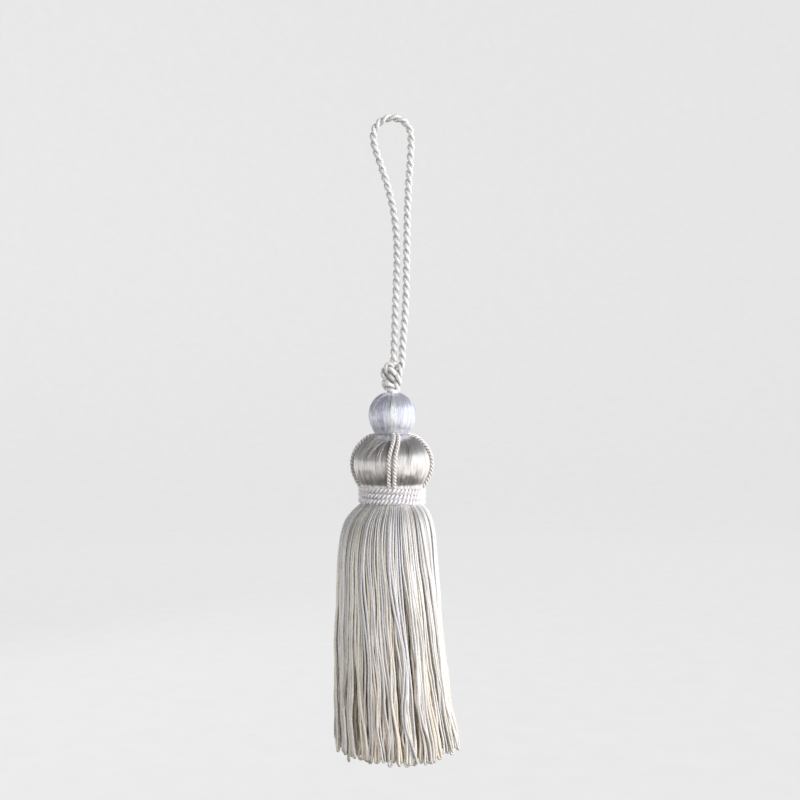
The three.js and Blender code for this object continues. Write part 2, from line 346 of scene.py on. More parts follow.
def grid_shell(grid, along, value):
    """Quads over grid (paths, rings, sides, 3), closed round the sides and at both ends, with UVs.

    U runs once round the section, V is the length in millimetres. value is an array that fits
    (paths, rings, sides).
    """
    paths, rings, sides, _ = grid.shape
    value = np.broadcast_to(value, grid.shape[:3])
    vertices = grid.reshape(-1, 3)
    index = np.arange(paths * rings * sides).reshape(paths, rings, sides)
    a = index[:, :-1, :]
    b = np.roll(index, -1, axis=2)[:, :-1, :]
    c = np.roll(index, -1, axis=2)[:, 1:, :]
    d = index[:, 1:, :]
    quads = np.stack([a, b, c, d], axis=-1).reshape(-1, 4)
    u0 = np.broadcast_to(np.arange(sides) / sides, a.shape)
    u1 = u0 + 1 / sides
    v0 = np.broadcast_to(along[:, :-1, None], a.shape)
    v1 = np.broadcast_to(along[:, 1:, None], a.shape)
    u = np.stack([u0, u1, u1, u0], axis=-1)
    v = np.stack([v0, v0, v1, v1], axis=-1)
    quad_uv = np.stack([u, v], axis=-1).reshape(-1, 4, 2)
    values = value.reshape(-1)
    tips = np.concatenate([grid[:, 0].mean(axis=1), grid[:, -1].mean(axis=1)])
    first = len(vertices)
    vertices = np.vstack([vertices, tips])
    values = np.concatenate([values, value[:, 0, 0], value[:, -1, 0]])
    start, end = index[:, 0, :], index[:, -1, :]
    start_tip = np.broadcast_to((first + np.arange(paths))[:, None], start.shape)
    end_tip = start_tip + paths
    triangles = np.concatenate([
        np.stack([start_tip, np.roll(start, -1, axis=1), start], axis=-1).reshape(-1, 3),
        np.stack([end_tip, end, np.roll(end, -1, axis=1)], axis=-1).reshape(-1, 3),
    ])
    triangle_uv = np.full((len(triangles), 3, 2), 0.5)
    return {
        "vertices": vertices, "quads": quads, "quad_uv": quad_uv,
        "triangles": triangles, "triangle_uv": triangle_uv, "values": values,
    }


def join_shells(shells):
    offset = 0
    joined = {key: [] for key in shells[0]}
    for shell in shells:
        for key, array in shell.items():
            joined[key].append(array + offset if key in ("quads", "triangles") else array)
        offset += len(shell["vertices"])
    return {key: np.concatenate(arrays) for key, arrays in joined.items()}


def mesh_object(name, shell, material):
    """A smooth-shaded object from a shell. The shell's values become the attribute "tint"."""
    mesh = bpy.data.meshes.new(name)
    corners = np.concatenate([shell["quads"].ravel(), shell["triangles"].ravel()])
    totals = np.concatenate([np.full(len(shell["quads"]), 4), np.full(len(shell["triangles"]), 3)])
    starts = np.concatenate([[0], np.cumsum(totals)[:-1]])
    mesh.vertices.add(len(shell["vertices"]))
    mesh.vertices.foreach_set("co", shell["vertices"].astype(np.float32).ravel())
    mesh.loops.add(len(corners))
    mesh.loops.foreach_set("vertex_index", corners.astype(np.int32))
    mesh.polygons.add(len(totals))
    mesh.polygons.foreach_set("loop_start", starts.astype(np.int32))
    mesh.update(calc_edges=True)
    layer = mesh.uv_layers.new(name="UVMap")
    uv = np.concatenate([shell["quad_uv"].reshape(-1, 2), shell["triangle_uv"].reshape(-1, 2)])
    layer.data.foreach_set("uv", uv.astype(np.float32).ravel())
    tint = mesh.attributes.new("tint", "FLOAT", "POINT")
    tint.data.foreach_set("value", shell["values"].astype(np.float32))
    mesh.shade_smooth()
    mesh.materials.append(material)
    obj = bpy.data.objects.new(name, mesh)
    bpy.context.scene.collection.objects.link(obj)
    return obj


def tubes(points, radius, sides, value):
    """Round tubes along several paths. points: (paths, rings, 3), radius: (paths, rings)."""
    normals, binormals = carried_frames(points)
    angles = np.arange(sides) / sides * TAU
    ring = (normals[:, :, None] * np.cos(angles)[None, None, :, None]
            + binormals[:, :, None] * np.sin(angles)[None, None, :, None])
    grid = points[:, :, None] + radius[:, :, None, None] * ring
    steps = np.linalg.norm(np.diff(points, axis=1), axis=-1) / MM
    along = np.concatenate([np.zeros((len(points), 1)), np.cumsum(steps, axis=1)], axis=1)
    return grid_shell(grid, along, value[:, None, None])


def twisted_cord(route, diameter, pitch, sides=12, start=0.0):
    """Two plies laid round each other in S twist along a route, each a little squeezed by the
    other. diameter is one number or one for each point."""
    points = route[None]
    size = np.broadcast_to(diameter, len(route))[None, :, None, None]
    normals, binormals = carried_frames(points)
    along = lengths_along(route) + start
    angles = np.arange(sides) / sides * TAU
    shells = []
    for ply in (0, 1):
        turn = -TAU * along / pitch + ply * math.pi
        cos, sin = np.cos(turn)[None, :, None], np.sin(turn)[None, :, None]
        outward = normals * cos + binormals * sin
        sideways = binormals * cos - normals * sin
        out = (0.235 + 0.265 * np.cos(angles))[None, None, :, None] * size
        across = (0.32 * np.sin(angles))[None, None, :, None] * size
        grid = points[:, :, None] + outward[:, :, None] * out + sideways[:, :, None] * across
        shells.append(grid_shell(grid, along[None] / MM, np.array([float(ply)])))
    return join_shells(shells)


# ------------ materials

WHITE = (1.0, 1.0, 1.0)
YARNS = {                         # the dyes of the strands, from a tint of 0 to a tint of 1
    "fringe_yarn": [
        (0.88, 0.85, 0.79),
        (0.92, 0.92, 0.91),
        (0.96, 0.96, 0.98),
        (0.86, 0.87, 0.94),
        (0.60, 0.58, 0.54),
        (0.97, 0.96, 0.95),
    ],
    # The yarn of the layers below the outer one: its warmer dyes are painted shade, the tan of the
    # gaps between locks.
    "fringe_yarn_inside_shaded": [
        (0.96, 0.87, 0.74),
        (0.97, 0.95, 0.91),
        (0.91, 0.83, 0.70),
        (0.96, 0.95, 0.95),
    ],
}
# Each cord's groove colour is painted shade where a ply turns in to its neighbour.
CORDS = {                         # lines: fibre lines round a ply and the pitch of one in mm
    "twisted_cord": {
        "plies": ((0.99, 0.99, 0.98), (0.96, 0.96, 0.98)),
        "groove_shade": (0.86, 0.85, 0.86),
        "lines": {"around": 5, "pitch": 3.2},
        "metallic": 0.30,
    },
    # The knot's copy of the cord, with darker plies and far darker grooves: painted shade on the
    # knot.
    "twisted_cord_knot_shaded": {
        "plies": ((0.95, 0.95, 0.94), (0.88, 0.88, 0.90)),
        "groove_shade": (0.60, 0.58, 0.56),
        "lines": {"around": 5, "pitch": 3.2},
        "metallic": 0.10,
    },
    "gimp_cord": {
        "plies": ((1.0, 0.985, 0.98), (0.97, 0.955, 0.95)),
        "groove_shade": (0.68, 0.63, 0.60),
        "lines": {"around": 3, "pitch": 4.0},
        "metallic": 0.10,
    },
    "collar_cord": {
        "plies": ((0.99, 0.98, 1.0), (0.98, 0.97, 1.0)),
        "groove_shade": (0.86, 0.84, 0.89),
        "lines": {"around": 4, "pitch": 4.0},
        "metallic": 0.10,
    },
}
SATINS = {
    "satin_white": {"light": (0.93, 0.95, 1.0), "dark": (0.63, 0.65, 0.83), "metallic": 0.60},
    "satin_cream": {"light": (0.99, 0.98, 0.98), "dark": (0.63, 0.59, 0.555), "metallic": 0.85},
}


class Nodes:
    """The shader nodes of one tree. Inputs are given by socket name or number."""

    def __init__(self, tree):
        self.tree = tree
        self.tree.nodes.clear()

    def node(self, kind, inputs=None, **settings):
        node = self.tree.nodes.new(kind)
        for key, value in settings.items():
            setattr(node, key, value)
        for key, value in (inputs or {}).items():
            self.set(node.inputs[key], value)
        return node

    def set(self, socket, value):
        if isinstance(value, bpy.types.NodeSocket):
            self.tree.links.new(value, socket)
        else:
            socket.default_value = value

    def math(self, operation, *values):
        node = self.node("ShaderNodeMath", operation=operation)
        for socket, value in zip(node.inputs, values):
            self.set(socket, value)
        return node.outputs[0]

    def fade(self, value, start, end, low=0.0, high=1.0):
        """Turns smoothly from low to high while value goes from start to end."""
        return self.node("ShaderNodeMapRange", {
            "Value": value, "From Min": start, "From Max": end, "To Min": low, "To Max": high,
        }, interpolation_type="SMOOTHSTEP").outputs[0]

    def between(self, a, b, share):
        """a where share is 0, b where it is 1."""
        return self.node("ShaderNodeMix", {"Factor": share, 2: a, 3: b}).outputs[0]

    def ramp(self, factor, stops):
        node = self.node("ShaderNodeValToRGB", {"Fac": factor})
        elements = node.color_ramp.elements
        while len(elements) < len(stops):
            elements.new(0.5)
        for element, (position, color) in zip(elements, stops):
            element.position = position
            element.color = (*color, 1.0)
        return node.outputs["Color"]

    def multiply(self, color, by, share=1.0):
        node = self.node("ShaderNodeMix", data_type="RGBA", blend_type="MULTIPLY")
        self.set(node.inputs["Factor"], share)
        self.set(node.inputs[6], color)
        self.set(node.inputs[7], by)
        return node.outputs[2]

    def noise(self, vector, detail, scale=1.0):
        return self.node("ShaderNodeTexNoise", {
            "Vector": vector, "Scale": scale, "Detail": detail,
        }).outputs[0]


class Material(Nodes):
    """A material for the shells above: it uses their UVs and their attribute tint."""

    def __init__(self, name):
        self.material = bpy.data.materials.new(name)
        self.material.use_nodes = True
        super().__init__(self.material.node_tree)

    def uv(self):
        uv = self.node("ShaderNodeUVMap", uv_map="UVMap").outputs[0]
        return self.node("ShaderNodeSeparateXYZ", {0: uv}).outputs[:2]

    def tint(self):
        return self.node("ShaderNodeAttribute", attribute_name="tint").outputs["Fac"]

    def stretched_uv(self, u, v):
        across, along = self.uv()
        x = self.math("MULTIPLY", across, u)
        y = self.math("MULTIPLY", along, v)
        return self.node("ShaderNodeCombineXYZ", {0: x, 1: y}).outputs[0]

    def strand_uv(self, u, v):
        """UV stretched by u and v, and shifted by the tint so that no two strands match."""
        across, along = self.uv()
        tint = self.tint()
        x = self.math("MULTIPLY_ADD", across, u, self.math("MULTIPLY", tint, 41.0))
        y = self.math("MULTIPLY_ADD", along, v, self.math("MULTIPLY", tint, 67.0))
        z = self.math("MULTIPLY", tint, 23.0)
        return self.node("ShaderNodeCombineXYZ", {0: x, 1: y, 2: z}).outputs[0]

    def ply_outside(self):
        """1 on the outside of a ply, falling to 0 where it turns in to its neighbour: the mask of
        the painted groove shade.
        """
        facing = self.math("COSINE", self.math("MULTIPLY", self.uv()[0], TAU))
        return self.fade(facing, -0.55, 0.25)

    def painted_light_by_height(self):
        """Painted light and shade by height: a tint that turns from a lighter, cool white at the neck
        to a darker, warm cream at the hem.
        """
        position = self.node("ShaderNodeTexCoord").outputs["Object"]
        height = self.node("ShaderNodeSeparateXYZ", {0: position}).outputs[2]
        down = self.node("ShaderNodeMapRange", {
            "Value": height, "From Min": SKIRT_TOP, "From Max": SKIRT_TOP - HEM * MM,
        }).outputs[0]
        return self.ramp(down, [(0.1, (0.98, 0.985, 1.0)), (0.9, (0.94, 0.925, 0.905))])

    def twist_lines(self, around, pitch):
        """A wave that climbs round the section, from 0 to 1. pitch is in millimetres."""
        across, along = self.uv()
        climb = self.math("MULTIPLY", along, 1 / pitch)
        phase = self.math("MULTIPLY_ADD", across, float(around), climb)
        wave = self.math("SINE", self.math("MULTIPLY", phase, TAU))
        return self.math("MULTIPLY_ADD", wave, 0.5, 0.5)

    def finish(self, color, roughness, bump, constants):
        """The shader. bump is (height, strength, distance in metres)."""
        height, strength, distance = bump
        normal = self.node("ShaderNodeBump", {
            "Height": height, "Strength": strength, "Distance": distance,
        })
        tangent = self.node("ShaderNodeTangent", direction_type="UV_MAP", uv_map="UVMap")
        shader = self.node("ShaderNodeBsdfPrincipled", {
            "Base Color": color,
            "Roughness": roughness,
            "Normal": normal.outputs[0],
            "Tangent": tangent.outputs[0],
            **constants,
        })
        self.node("ShaderNodeOutputMaterial", {"Surface": shader.outputs[0]})
        return self.material


def yarn_material(name):
    """Fine twisted rayon yarn: each strand has one of the dyes. It has painted shade in the twist's
    valleys, and painted light by height: lighter at the neck and darker at the hem.
    """
    g = Material(name)
    dyes = YARNS[name]
    dye = g.ramp(g.tint(), [(i / (len(dyes) - 1), dye) for i, dye in enumerate(dyes)])
    patches = g.noise(g.strand_uv(0.6, 0.06), 3.0)
    shade = g.ramp(patches, [(0.3, (0.86, 0.84, 0.80)), (0.65, WHITE)])
    twist = g.twist_lines(2, 2.2)
    # Painted shade in the valleys of the yarn's twist.
    valley_shade = g.ramp(twist, [(0.0, (0.93, 0.92, 0.90)), (0.5, WHITE)])
    # Painted light and shade by height: lighter at the neck, darker at the hem.
    color = g.multiply(g.multiply(dye, shade), g.painted_light_by_height())
    color = g.multiply(color, valley_shade, 0.6)
    fibres = g.noise(g.strand_uv(9.0, 0.8), 2.0)
    height = g.math("MULTIPLY_ADD", fibres, 0.5, twist)
    gloss = g.noise(g.strand_uv(0.9, 0.16), 1.0)
    roughness = g.math("MULTIPLY_ADD", gloss, 0.45, 0.06)
    return g.finish(color, roughness, (height, 0.08, 0.05 * MM), {
        "Metallic": 0.40,
        "Anisotropic": 0.2,
        "Sheen Weight": 0.10,
        "Sheen Roughness": 0.4,
        "Specular IOR Level": 0.5,
    })


def cord_material(name):
    """Twisted cord: each ply has its own colour and fine fibre lines, with painted shade in the
    lines' valleys and on the sides where a ply turns in to its neighbour.
    """
    cord = CORDS[name]
    g = Material(name)
    base = g.ramp(g.tint(), [(0.0, cord["plies"][0]), (1.0, cord["plies"][1])])
    patches = g.noise(g.strand_uv(1.5, 0.35), 3.0)
    shade = g.ramp(patches, [(0.3, (0.88, 0.87, 0.85)), (0.6, WHITE)])
    lines = g.twist_lines(cord["lines"]["around"], cord["lines"]["pitch"])
    # Painted shade in the valleys of the fibre lines.
    valley_shade = g.ramp(lines, [(0.0, (0.88, 0.87, 0.85)), (0.4, WHITE)])
    # Painted shade on each ply's sides, where it turns in to its neighbour.
    sides = g.ramp(g.ply_outside(), [(0.0, cord["groove_shade"]), (1.0, WHITE)])
    color = g.multiply(g.multiply(base, shade), valley_shade, 0.7)
    color = g.multiply(color, sides)
    fibres = g.noise(g.strand_uv(14.0, 2.0), 2.0)
    height = g.math("MULTIPLY_ADD", fibres, 0.5, lines)
    roughness = g.math("MULTIPLY_ADD", fibres, 0.2, 0.4)
    return g.finish(color, roughness, (height, 0.35, 0.1 * MM), {
        "Metallic": cord["metallic"],
        "Anisotropic": 0.5,
        "Sheen Weight": 0.2,
        "Sheen Roughness": 0.4,
    })


def satin_material(name):
    """Silky thread laid side by side from top to bottom: fine streaks along V, and a sheen that
    spreads across the threads."""
    satin = SATINS[name]
    g = Material(name)
    fine = g.noise(g.stretched_uv(95.0, 0.09), 3.0)
    broad = g.noise(g.stretched_uv(26.0, 0.05), 2.0)
    streaks = g.math("MULTIPLY_ADD", fine, 0.9, g.math("MULTIPLY", broad, 0.3))
    streaks = g.math("MULTIPLY_ADD", g.tint(), 0.4, streaks)
    color = g.ramp(streaks, [(0.62, satin["dark"]), (0.92, satin["light"])])
    roughness = g.math("MULTIPLY_ADD", broad, 0.20, 0.34)
    return g.finish(color, roughness, (streaks, 0.35, 0.2 * MM), {
        "Metallic": satin["metallic"],
        "Anisotropic": 1.0,
        "Sheen Weight": 0.15,
        "Sheen Roughness": 0.3,
    })


# ------------ camera

def make_camera():
    data = bpy.data.cameras.new("camera")
    data.lens = CAMERA_LENS
    data.sensor_width = 36.0
    data.shift_y = CAMERA_SHIFT
    data.clip_start = 0.01
    data.clip_end = 20.0
    camera = bpy.data.objects.new("camera", data)
    camera.location = (CAMERA_SIDE, -CAMERA_DISTANCE, CAMERA_HEIGHT)
    camera.rotation_euler = (math.pi / 2, 0.0, 0.0)
    bpy.context.scene.collection.objects.link(camera)
    bpy.context.scene.camera = camera


# ------------ loop and knot

def nearest(route, point):
    return int(np.argmin(np.linalg.norm(route - point, axis=1)))


def make_loop_and_knot(loop_material, knot_shaded_material):
    """One cord from end to end, cut into the loop and the two legs of the knot. Returns both
    pieces and the loop's route. The cord swells a little in the knot, where it isn't pulled."""
    left = np.array(KNOT_LEFT_LEG[::-1]) * MM
    right = np.array(KNOT_RIGHT_LEG) * MM
    route = smooth_route(np.vstack([left, LOOP_ROUTE, right]), 0.35 * MM)
    half = len(route) // 2
    first = nearest(route[:half], LOOP_ROUTE[0])
    last = half + nearest(route[half:], LOOP_ROUTE[-1])
    along = lengths_along(route)
    from_end = np.minimum(along / along[first], (along[-1] - along) / (along[-1] - along[last]))
    in_knot = smoothstep(1.3 * (1 - from_end))
    diameter = CORD_DIAMETER + (KNOT_CORD_DIAMETER - CORD_DIAMETER) * in_knot
    shells = [
        twisted_cord(route[a:b + 1], diameter[a:b + 1], CORD_PITCH, start=along[a])
        for a, b in ((0, first), (first, last), (last, len(route) - 1))
    ]
    loop = mesh_object("loop_cord", shells[1], loop_material)
    knot = mesh_object("knot_cord", join_shells([shells[0], shells[2]]), knot_shaded_material)
    return loop, knot, route[first:last + 1]


# ------------ ball and head

def dome_side(radius, ring, end, count):
    """[radius, height] points on an ellipse, from a ring at the height end to the widest level."""
    semi_height = end / math.sqrt(1 - (ring / radius) ** 2)
    last = math.asin(ring / radius)
    angles = last + (math.pi / 2 - last) * np.arange(count) / count
    return np.stack([radius * np.sin(angles), semi_height * np.cos(angles)], axis=1)


def semi_heights(mould, down):
    """Half height of the ellipse that a mould's side follows, at angles down from the top."""
    upper = np.cos(down) > 0
    end = np.where(upper, mould["rise"], mould["drop"])
    ring = np.where(upper, mould["top_ring"], mould["bottom_ring"])
    return end / np.sqrt(1 - (ring / mould["radius"]) ** 2)


def mould_profile(mould, neck, count):
    """[radius, height] points from the top of the axis to its foot, in millimetres."""
    share = np.linspace(0.02, 0.93, 7)
    dip = mould["dimple"] * (1 + np.cos(math.pi * share)) / 2
    dimple = np.stack([mould["top_ring"] * share, mould["rise"] - dip], axis=1)
    upper = dome_side(mould["radius"], mould["top_ring"], mould["rise"], count)
    lower = dome_side(mould["radius"], mould["bottom_ring"], -mould["drop"], count)[::-1]
    end_radius, end_height = neck[-1]
    foot = [[0.94 * end_radius, end_height], [0.3, end_height]]
    return np.vstack([dimple, upper, [[mould["radius"], 0.0]], lower, neck, foot])


def wound_threads(azimuth, share, threads, seam):
    """For each point of a cover: how far it lies across its thread, from 0 to 1, how far its
    thread is lifted there, and its thread's tint. share is how far down a row lies."""
    skew = 1.5 * np.sin(2 * azimuth + 0.7) + 2.2 * np.sin(5 * azimuth + 2.1)
    turn = azimuth - math.radians(seam["azimuth"])
    phase = turn * threads / TAU + skew * (share - 0.5) * seam["skew"]
    number = np.floor(phase).astype(int) % threads
    single = rng.normal(0, 1, (threads, 11))
    group = np.repeat(rng.normal(0, 1, (threads // 3 + 1, 11)), 3, axis=0)[:threads]
    levels = 0.4 * single + group
    level = share * 10
    low = np.clip(np.floor(level).astype(int), 0, 9)
    blend = smoothstep(level - low)
    uneven = levels[number, low] * (1 - blend) + levels[number, low + 1] * blend
    over = np.clip(1 - np.mod(phase, threads) / max(seam["threads"], 1e-6), 0.0, 1.0)
    # The strip's threads really lie over the others; their raised tone is a painted highlight.
    strip = np.arange(threads) < seam["threads"]
    tone = np.clip(0.5 + 0.13 * (0.5 * single[:, 0] + group[:, 0]) + 0.35 * strip, 0, 1)
    return phase - np.floor(phase), seam["rise"] * uneven + seam["thickness"] * over, tone[number]


def thread_cover(name, cover, material):
    """A mould covered in threads that run from the top hole to the foot. Each thread is a ridge
    of its own height, and wanders a little on its way down. The cover's seam tells where the
    winding ends: a strip of threads laid over the others, thickest at its left edge, and painted
    lighter as a painted highlight."""
    mould, threads = cover["mould"], cover["threads"]
    profile = mould_profile(mould, cover["foot"], 22)
    azimuth = np.arange(threads * cover["steps"]) / (threads * cover["steps"]) * TAU
    slope = unit(np.gradient(profile, axis=0))
    outward = np.stack([-slope[:, 1], slope[:, 0]], axis=1)
    share = np.linspace(0, 1, len(profile))[:, None]
    across, lift, tone = wound_threads(azimuth, share, threads, cover["seam"])
    ridge = np.sqrt(np.clip(1 - (2 * across - 1) ** 2, 0.0, 1.0))
    height = profile[:, :1] / mould["radius"] * (THREAD_BACK * ridge + lift)
    radius = profile[:, :1] + outward[:, :1] * height
    z = profile[:, 1:] + outward[:, 1:] * height
    grid = polar(radius, azimuth, z)[None] * MM + np.array([0.0, 0.0, cover["z"]])
    along = lengths_along(profile)[None]
    shell = grid_shell(grid[:, ::-1], along[:, ::-1], tone[None, ::-1])
    return mesh_object(name, shell, material)


def loose_threads(name, cover, material):
    """Threads that slipped across the others on a covered mould. Each bundle runs from one
    (azimuth, angle down from the top) to another, in degrees."""
    mould = cover["mould"]
    starts, ends = [], []
    for bundle in cover["loose"]:
        for _ in range(bundle["threads"]):
            starts.append(np.array(bundle["start"]) + rng.normal(0, 1, 2) * bundle["spread"])
            ends.append(np.array(bundle["end"]) + rng.normal(0, 1, 2) * bundle["spread"])
    t = np.linspace(0, 1, 30)
    starts, ends = np.array(starts), np.array(ends)
    azimuth, down = [
        np.radians(starts[:, k:k + 1] + (ends - starts)[:, k:k + 1] * t[None]) for k in (0, 1)
    ]
    swell = np.sin(math.pi * t) ** 0.5
    lift = LOOSE_THREAD["lift"] * swell + 0.02
    radius = (mould["radius"] + lift) * np.sin(down)
    height = (semi_heights(mould, down) + lift) * np.cos(down)
    paths = polar(radius, azimuth, height) * MM + np.array([0.0, 0.0, cover["z"]])
    thickness = np.broadcast_to(LOOSE_THREAD["radius"] * MM * (0.3 + 0.7 * swell), paths.shape[:2])
    shell = tubes(paths, thickness, 8, rng.uniform(*LOOSE_THREAD["tints"], len(paths)))
    return mesh_object(name, shell, material)


# ------------ gimp cords and collar

def gimp_route(pair, hand):
    """One cord of a pair, on its left (hand -1) or right (hand 1), from the ball to the collar."""
    t = np.linspace(0, 1, 90)
    away = (0.1 + 0.4 * smoothstep(t / 0.12)) * GIMP_DIAMETER / MM
    down = GIMP_START + (math.radians(pair["end"]) - GIMP_START) * t
    radius = (HEAD["radius"] + away) * np.sin(down)
    top, middle, bottom = GIMP_SPACING["top"], GIMP_SPACING["middle"], GIMP_SPACING["bottom"]
    spacing = np.where(
        t < 0.5,
        top + (middle - top) * smoothstep(t / 0.5),
        middle + (bottom - middle) * smoothstep((t - 0.5) / 0.5),
    )
    lean = math.radians(pair["lean"]) * (1 - smoothstep(t / 0.6))
    azimuth = math.radians(pair["azimuth"]) + lean + hand * spacing / 2 / radius
    height = (semi_heights(HEAD, down) + away) * np.cos(down)
    points = polar(radius, azimuth, height) * MM + np.array([0.0, 0.0, HEAD_Z])
    return smooth_route(points[::3], 0.25 * MM)


def collar_route():
    turn = np.linspace(0, COLLAR["turns"] - COLLAR["step"], 240)
    whole = np.floor(turn)
    stepping = smoothstep((turn - whole - (1 - COLLAR["step"])) / COLLAR["step"])
    azimuth = math.pi + turn * TAU
    uneven = 0.10 * np.sin(2.3 * azimuth + 1.0)
    z = COLLAR["top"] - COLLAR["pitch"] * (whole + stepping) - COLLAR["tilt"] * np.sin(azimuth)
    return smooth_route(polar(COLLAR["radius"], azimuth, z + uneven)[::2] * MM, 0.3 * MM)


# ------------ skirt

def skirt_radius(below):
    return smooth_interp(below, column(SKIRT_SECTIONS, "below"), column(SKIRT_SECTIONS, "radius"))


def skirt_drift(below):
    return smooth_interp(below, column(SKIRT_SECTIONS, "below"), column(SKIRT_SECTIONS, "drift"))


def hollow_radius(below):
    return smooth_interp(below, column(HOLLOW_SECTIONS, "below"), column(HOLLOW_SECTIONS, "radius"))


HEM_RADIUS = skirt_radius(HEM)
HEM_THICKNESS = HEM_RADIUS - hollow_radius(HEM)
LOCK_JITTER = rng.uniform(-LOCKS["jitter"], LOCKS["jitter"], LOCKS["count"])
LOCK_EDGES = np.sort((np.arange(LOCKS["count"]) + LOCK_JITTER) / LOCKS["count"]) * TAU
LOCK_LEANS = rng.normal(0, LOCKS["lean"], LOCKS["count"])


def lock_place(azimuth):
    """How far each azimuth lies from the middle of its lock, where -1 and 1 are the lock's edges,
    with the lock's half width and its lean."""
    edges = np.concatenate([[LOCK_EDGES[-1] - TAU], LOCK_EDGES, [LOCK_EDGES[0] + TAU]])
    wrapped = np.mod(azimuth - edges[0], TAU) + edges[0]
    i = np.clip(np.searchsorted(edges, wrapped) - 1, 0, len(edges) - 2)
    middle = (edges[i] + edges[i + 1]) / 2
    half = (edges[i + 1] - edges[i]) / 2
    return (wrapped - middle) / half, half, LOCK_LEANS[i % LOCKS["count"]]


def hem_levels(azimuth, long_loop):
    """How far below the collar each loop ends. long_loop names the place of one that hangs lower."""
    uneven = np.clip(rng.normal(0, 0.45, len(azimuth)), -1.2, 0.8)
    end = HEM + uneven + 0.45 * np.cos(3 * azimuth) + 0.2 * np.sin(5 * azimuth)
    if long_loop:
        longest = np.argmax(np.cos(azimuth - long_loop["azimuth"]))
        end[longest] = HEM + long_loop["extra"]
    return end


def drawn_waves(count, waves, share):
    """A wave down each strand, with its own number of waves and its own shift, and the shift."""
    waves = rng.uniform(*waves, count)[:, None]
    shift = rng.uniform(0, TAU, count)[:, None]
    return np.sin(waves * TAU * share + shift), shift


def strand_wander(share):
    """The angle by which each strand strays from its place, more so towards the hem."""
    wander = np.zeros_like(share)
    for row in WANDER:
        size = rng.normal(0, row["reach"], len(share))[:, None]
        wave, shift = drawn_waves(len(share), row["waves"], share)
        wander += size * (wave - np.sin(shift)) * share ** 0.7
    return wander


def strand_places(azimuth, depth, below, lean):
    """Radius and angle, at each level, of the middle between a loop's two legs."""
    share = np.clip(below / HEM, 0, 1)
    off, half, lock_lean = lock_place(azimuth)
    parted = smoothstep((below - LOCKS["start"]) / LOCKS["fade"])
    gather = -LOCKS["pull"] * (off * half)[:, None] * parted
    wander = strand_wander(share)
    front = np.clip(np.cos(azimuth - SWEEP["azimuth"]), 0, 1)[:, None]
    sweep = SWEEP["reach"] * front ** 3 * smoothstep(below / SWEEP["below"])
    tilt = (lean + lock_lean)[:, None] * share ** 1.4 + sweep
    angle = azimuth[:, None] + gather + wander + tilt
    inward = depth[:, None] * (skirt_radius(below) - hollow_radius(below))
    valley = LOCKS["valley"] * (off ** 2)[:, None] * parted * (1 - depth[:, None])
    swing = rng.normal(0, SWING["reach"], len(azimuth))[:, None] * share
    ripple, _ = drawn_waves(len(azimuth), SWING["waves"], share)
    swing = swing + SWING["ripple"] * ripple * parted
    return skirt_radius(below) - inward - valley - swing, angle


def loop_paths(azimuth, depth, rings, lean, spread, long_loop):
    """Routes of looped strands: down one leg, round the U at the hem and up the other leg, with
    the levels of a leg's points.

    azimuth, depth and lean hold one value per loop. depth is 0 at the outline and 1 at the
    hollow, and spread is half the distance between two legs at the hem.
    """
    count = len(azimuth)
    end = hem_levels(azimuth, long_loop)
    bend = rng.uniform(*LEGS["bend"], count)
    t = np.linspace(0, 1, rings)
    below = -HEADING + (end - bend + HEADING)[:, None] * (t ** 0.9)[None]
    share = np.clip(below / HEM, 0, 1)
    radius, angle = strand_places(azimuth, depth, below, lean)
    middle = polar(radius, angle, SKIRT_TOP / MM - below)
    middle[..., 0] += skirt_drift(below)
    turning = smoothstep((below - LEGS["turn_start"]) / LEGS["turn_fade"])
    turn = rng.normal(0, LEGS["turn"], count)[:, None] * turning
    along_hem = polar(1.0, angle + math.pi / 2, 0.0)
    outward = polar(1.0, angle, 0.0)
    side = along_hem * np.cos(turn)[..., None] + outward * np.sin(turn)[..., None]
    near_hem = smoothstep((below - (end[:, None] - LEGS["close"])) / LEGS["close_fade"])
    legs = spread * radius / HEM_RADIUS
    legs = legs * (1 - near_hem) + bend[:, None] * near_hem
    apart = []
    for _ in range(2):
        wave, _ = drawn_waves(count, LEGS["waves"], share)
        apart.append(LEGS["stray"] * wave * (1 - near_hem) * share ** 0.5)
    left = middle - side * (legs + apart[0])[..., None]
    right = middle + side * (legs + apart[1])[..., None]
    round_hem = np.linspace(0, math.pi, HEM_RINGS + 2)[1:-1]
    foot = middle[:, -1:] - side[:, -1:] * (bend[:, None] * np.cos(round_hem))[..., None]
    foot = foot - np.array([0.0, 0.0, 1.0]) * (bend[:, None] * np.sin(round_hem))[..., None]
    return np.concatenate([left, foot, right[:, ::-1]], axis=1) * MM, below


def strand_shell(azimuth, depth, layer, lean, spread):
    """Looped strands of one layer as tubes. They are slimmer where the neck holds them tight."""
    count = len(azimuth)
    paths, below = loop_paths(azimuth, depth, layer["rings"], lean, spread, layer.get("long_loop"))
    neck = YARN_SLIM["neck"]
    slim = neck + (1 - neck) * smoothstep(below / YARN_SLIM["below"])
    foot = np.ones((count, HEM_RINGS))
    thickness = np.clip(rng.normal(1.0, YARN_SLIM["spread"], count), 0.75, 1.25)[:, None]
    radius = YARN_RADIUS * thickness * np.concatenate([slim, foot, slim[:, ::-1]], axis=1)
    return tubes(paths, radius, layer["sides"], rng.uniform(0, 1, count))


def even_azimuths(count, jitter):
    spots = np.arange(count) + rng.uniform(0, 1) + rng.normal(0, jitter, count)
    return spots / count * TAU


